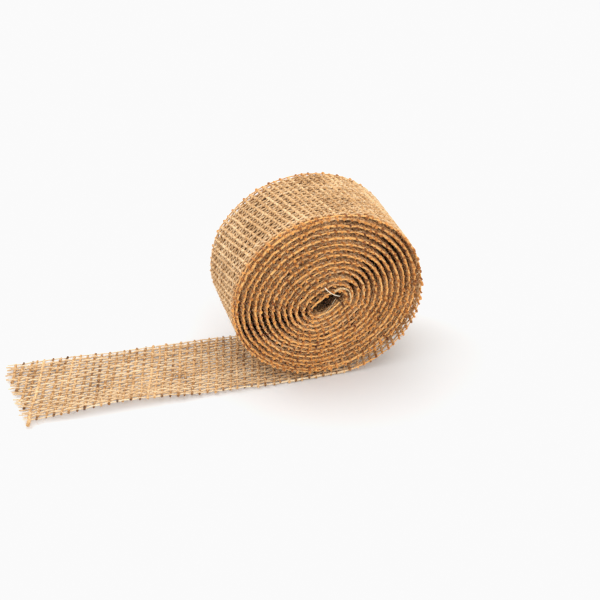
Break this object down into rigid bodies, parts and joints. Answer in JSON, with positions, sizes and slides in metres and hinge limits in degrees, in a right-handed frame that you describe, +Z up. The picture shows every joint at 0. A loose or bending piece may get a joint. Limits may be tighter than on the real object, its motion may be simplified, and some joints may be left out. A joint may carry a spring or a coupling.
{
  "type": "ribbon roll",
  "caption": "Coreless roll of open-weave jute ribbon, wound on itself around a flattened eye, with its frayed outer end laid out flat as a tail that bends and winds back up.",
  "frame": {"origin": "on the resting surface, straight under the lowest point of the turns that stand on the ribbon's flat foot, in the middle of the ribbon's width", "axes": "+Z up; Y along the roll's axis, with the near face towards -Y; the laid-out tail runs towards -X"},
  "size_m": [0.1652, 0.0453, 0.075],
  "materials": {
    "warp_yarn": "thin pale jute yarns, loosely spun, running along the ribbon",
    "weft_yarn": "thicker golden-brown jute yarns, loosely spun, across the ribbon"
  },
  "bodies": {
    "roll": {"roll_warp_01": "warp_yarn", "roll_warp_02": "warp_yarn", "roll_warp_03": "warp_yarn", "roll_warp_04": "warp_yarn", "roll_warp_05": "warp_yarn", "roll_warp_06": "warp_yarn", "roll_warp_07": "warp_yarn", "roll_warp_08": "warp_yarn", "roll_warp_09": "warp_yarn", "roll_warp_10": "warp_yarn", "roll_warp_11": "warp_yarn", "roll_warp_12": "warp_yarn", "roll_warp_13": "warp_yarn", "roll_warp_14": "warp_yarn", "roll_warp_15": "warp_yarn", "roll_warp_16": "warp_yarn", "roll_warp_17": "warp_yarn", "roll_warp_18": "warp_yarn", "roll_warp_19": "warp_yarn", "roll_warp_20": "warp_yarn", "roll_warp_21": "warp_yarn", "roll_warp_22": "warp_yarn", "roll_warp_23": "warp_yarn", "turn_wefts_01": "weft_yarn", "turn_wefts_02": "weft_yarn", "turn_wefts_03": "weft_yarn", "turn_wefts_04": "weft_yarn", "turn_wefts_05": "weft_yarn", "turn_wefts_06": "weft_yarn", "turn_wefts_07": "weft_yarn", "turn_wefts_08": "weft_yarn", "turn_wefts_09": "weft_yarn", "turn_wefts_10": "weft_yarn", "turn_wefts_11": "weft_yarn", "turn_wefts_12": "weft_yarn", "turn_wefts_13": "weft_yarn", "turn_wefts_14": "weft_yarn"},
    "tail_1": {"tail_edge_warps_1": "warp_yarn", "tail_inner_warps_1": "warp_yarn", "tail_wefts_1": "weft_yarn"},
    "tail_2": {"tail_edge_warps_2": "warp_yarn", "tail_inner_warps_2": "warp_yarn", "tail_wefts_2": "weft_yarn"},
    "tail_3": {"tail_edge_warps_3": "warp_yarn", "tail_inner_warps_3": "warp_yarn", "tail_wefts_3": "weft_yarn"},
    "tail_4": {"tail_edge_warps_4": "warp_yarn", "tail_inner_warps_4": "warp_yarn", "tail_wefts_4": "weft_yarn"},
    "tail_5": {"tail_edge_warps_5": "warp_yarn", "tail_inner_warps_5": "warp_yarn", "tail_wefts_5": "weft_yarn"},
    "tail_6": {"tail_edge_warps_6": "warp_yarn", "tail_inner_warps_6": "warp_yarn", "tail_wefts_6": "weft_yarn"}
  },
  "joints": [
    {"name": "tail_bend_1", "type": "hinge", "parent": "roll", "child": "tail_1", "pos_m": [-0.012, 0, 0.00025], "axis": [0, 1, 0], "range_deg": [-20, 26]},
    {"name": "tail_bend_2", "type": "hinge", "parent": "tail_1", "child": "tail_2", "pos_m": [-0.03, 0, 0.00025], "axis": [0, 1, 0], "range_deg": [-20, 26]},
    {"name": "tail_bend_3", "type": "hinge", "parent": "tail_2", "child": "tail_3", "pos_m": [-0.048, 0, 0.00025], "axis": [0, 1, 0], "range_deg": [-20, 26]},
    {"name": "tail_bend_4", "type": "hinge", "parent": "tail_3", "child": "tail_4", "pos_m": [-0.066, 0, 0.00025], "axis": [0, 1, 0], "range_deg": [-20, 26]},
    {"name": "tail_bend_5", "type": "hinge", "parent": "tail_4", "child": "tail_5", "pos_m": [-0.084, 0, 0.00025], "axis": [0, 1, 0], "range_deg": [-20, 26]},
    {"name": "tail_bend_6", "type": "hinge", "parent": "tail_5", "child": "tail_6", "pos_m": [-0.102, 0, 0.00025], "axis": [0, 1, 0], "range_deg": [-20, 26]}
  ]
}
